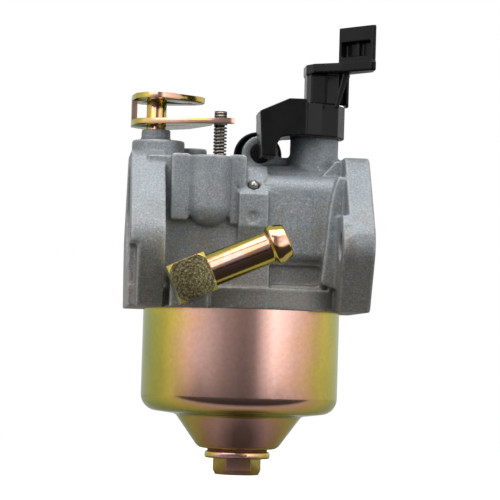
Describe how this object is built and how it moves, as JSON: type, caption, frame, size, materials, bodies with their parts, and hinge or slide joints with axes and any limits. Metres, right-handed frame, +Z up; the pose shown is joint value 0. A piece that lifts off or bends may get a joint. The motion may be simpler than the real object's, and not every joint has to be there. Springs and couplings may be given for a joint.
{
  "type": "float bowl carburetor",
  "caption": "Small-engine float-bowl carburetor with flanged cast body, plated bowl, throttle lever, plastic choke lever and angled fuel inlet.",
  "frame": {"origin": "centre of the throttle bore at the engine-side flange face", "axes": "+X along the bore from the engine side to the air filter, +Z up away from the bowl, fuel inlet on -Y"},
  "size_m": [0.0569, 0.064, 0.1077],
  "materials": {
    "cast_zinc": "fine-grained as-cast zinc, blue-grey",
    "bowl_plate": "drawn steel with iridescent yellow zinc plating",
    "yellow_zinc": "iridescent yellow zinc plating",
    "steel": "plain turned steel",
    "spring_steel": "drawn spring wire",
    "brass": "turned brass",
    "black_plastic": "moulded black plastic, fine satin grain",
    "float_plastic": "moulded black plastic",
    "rubber_seal": "black nitrile rubber",
    "fibre_washer": "pressed red-brown fibre"
  },
  "bodies": {
    "body": {"carb_body": "cast_zinc", "float_bowl": "bowl_plate", "bowl_gasket": "rubber_seal", "bowl_bolt_gasket": "fibre_washer", "bowl_bolt": "yellow_zinc", "fuel_inlet_elbow": "yellow_zinc", "fuel_inlet_tube": "yellow_zinc", "needle_seat": "brass", "float_pin": "steel", "main_nozzle": "brass", "main_jet": "brass", "pilot_jet": "brass", "passage_plug_ball": "steel", "air_jets": "brass", "throttle_shaft_seal": "rubber_seal", "choke_retainer": "black_plastic", "vent_fitting": "black_plastic", "idle_screw_spring": "spring_steel"},
    "throttle": {"throttle_shaft": "yellow_zinc", "throttle_plate": "brass", "throttle_plate_screws": "steel", "throttle_lever": "yellow_zinc"},
    "choke": {"choke_shaft": "steel", "choke_plate": "brass", "choke_plate_screws": "steel", "choke_lever": "black_plastic"},
    "float": {"float_body": "float_plastic", "float_hinge": "steel"},
    "needle": {"inlet_needle": "brass"},
    "idle_washer": {"idle_screw_washer": "steel"},
    "idle_screw": {"idle_speed_screw": "steel"}
  },
  "joints": [
    {"name": "throttle_turn", "type": "hinge", "parent": "body", "child": "throttle", "pos_m": [0.0061, 0, 0], "axis": [0, 0, -1], "range_deg": [0, 75]},
    {"name": "choke_turn", "type": "hinge", "parent": "body", "child": "choke", "pos_m": [0.0445, 0, 0], "axis": [0, 0, 1], "range_deg": [0, 80]},
    {"name": "float_swing", "type": "hinge", "parent": "body", "child": "float", "pos_m": [0.009, 0, -0.024], "axis": [0, -1, 0], "range_deg": [0, 8]},
    {"name": "needle_lift", "type": "slide", "parent": "body", "child": "needle", "axis": [0, 0, 1], "range_m": [0, 0.0007]},
    {"name": "idle_travel", "type": "slide", "parent": "body", "child": "idle_washer", "axis": [0, 0, -1], "range_m": [0, 0.0021], "deforming": ["idle_screw_spring"]},
    {"name": "idle_turn", "type": "hinge", "parent": "idle_washer", "child": "idle_screw", "pos_m": [0.0211, -0.008, 0], "axis": [0, 0, -1], "range_deg": [0, 1080]}
  ],
  "couplings": [
    {"joint": "needle_lift", "follows": "float_swing", "m_per_rad": 0.005},
    {"joint": "idle_turn", "follows": "idle_travel", "rad_per_m": 8975}
  ]
}
